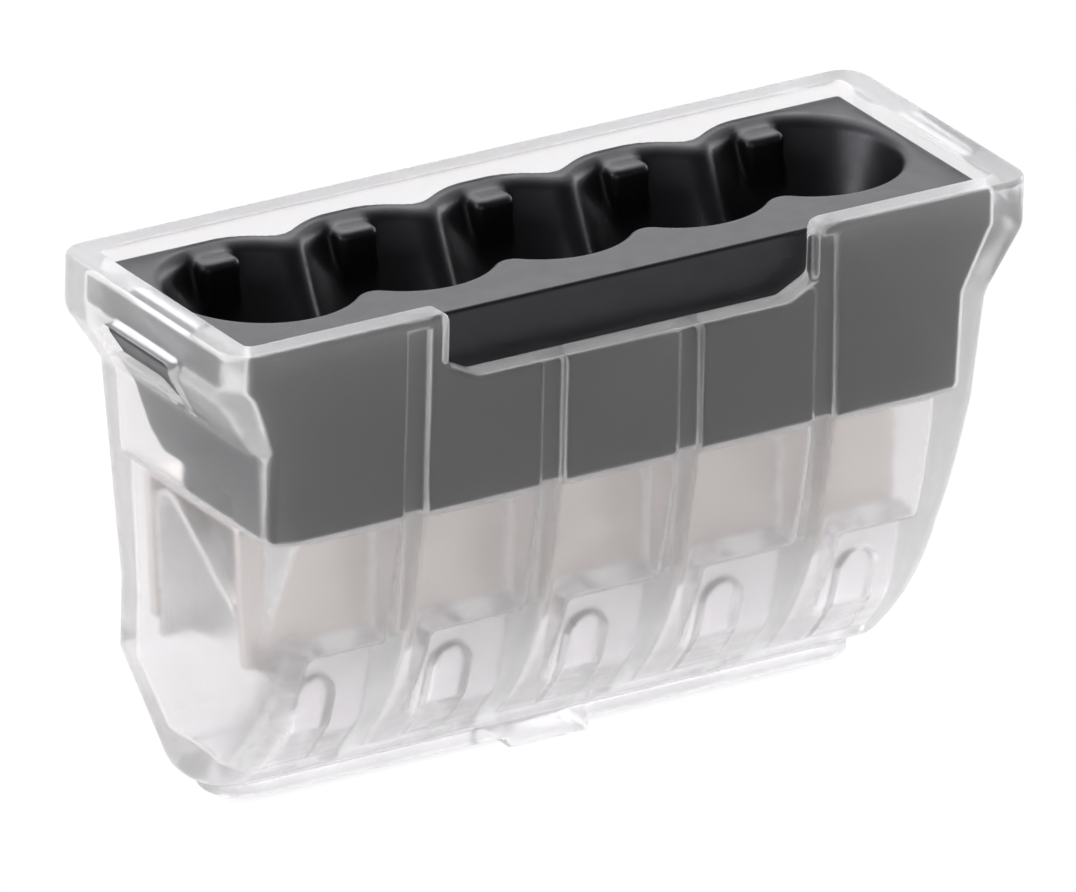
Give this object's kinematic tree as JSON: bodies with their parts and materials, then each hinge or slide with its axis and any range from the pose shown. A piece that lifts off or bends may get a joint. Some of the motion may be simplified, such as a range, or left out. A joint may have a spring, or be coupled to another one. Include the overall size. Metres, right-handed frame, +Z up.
{
  "type": "push-wire connector",
  "caption": "Clear-bodied push-wire connector for solid conductors, with a row of funnel mouths in a dark wire guide, a current bar and sprung clamping tongues.",
  "frame": {"origin": "middle of the underside of the foot's centre boss, below the middle of the bounding box", "axes": "+X along the row of conductors, -Y is the front with the notched rim, +Z up towards the wire mouths"},
  "size_m": [0.03, 0.0106, 0.0179],
  "materials": {
    "clear_housing": "clear moulded polycarbonate, faintly frosted",
    "dark_guide": "dark grey moulded polyamide, fine satin texture",
    "tinned_bar": "tin-plated copper alloy strip, dull",
    "spring_steel": "stainless spring strip"
  },
  "bodies": {
    "root": {"housing": "clear_housing", "wire_guide_insert": "dark_guide", "current_bar": "tinned_bar", "clamp_spring_1": "spring_steel", "clamp_spring_2": "spring_steel", "clamp_spring_3": "spring_steel", "clamp_spring_4": "spring_steel", "clamp_spring_5": "spring_steel"},
    "tongue_1": {"spring_tongue_1": "spring_steel"},
    "tongue_2": {"spring_tongue_2": "spring_steel"},
    "tongue_3": {"spring_tongue_3": "spring_steel"},
    "tongue_4": {"spring_tongue_4": "spring_steel"},
    "tongue_5": {"spring_tongue_5": "spring_steel"}
  },
  "joints": [
    {"name": "tongue_1_flex", "type": "hinge", "parent": "root", "child": "tongue_1", "pos_m": [-0.0102, 0.00245, 0.00935], "axis": [1, 0, 0], "range_deg": [0, 32], "stiffness_Nm_per_rad": 0.12, "springref_deg": -11.46},
    {"name": "tongue_2_flex", "type": "hinge", "parent": "root", "child": "tongue_2", "pos_m": [-0.0051, 0.00245, 0.00935], "axis": [1, 0, 0], "range_deg": [0, 32], "stiffness_Nm_per_rad": 0.12, "springref_deg": -11.46},
    {"name": "tongue_3_flex", "type": "hinge", "parent": "root", "child": "tongue_3", "pos_m": [0, 0.00245, 0.00935], "axis": [1, 0, 0], "range_deg": [0, 32], "stiffness_Nm_per_rad": 0.12, "springref_deg": -11.46},
    {"name": "tongue_4_flex", "type": "hinge", "parent": "root", "child": "tongue_4", "pos_m": [0.0051, 0.00245, 0.00935], "axis": [1, 0, 0], "range_deg": [0, 32], "stiffness_Nm_per_rad": 0.12, "springref_deg": -11.46},
    {"name": "tongue_5_flex", "type": "hinge", "parent": "root", "child": "tongue_5", "pos_m": [0.0102, 0.00245, 0.00935], "axis": [1, 0, 0], "range_deg": [0, 32], "stiffness_Nm_per_rad": 0.12, "springref_deg": -11.46}
  ]
}
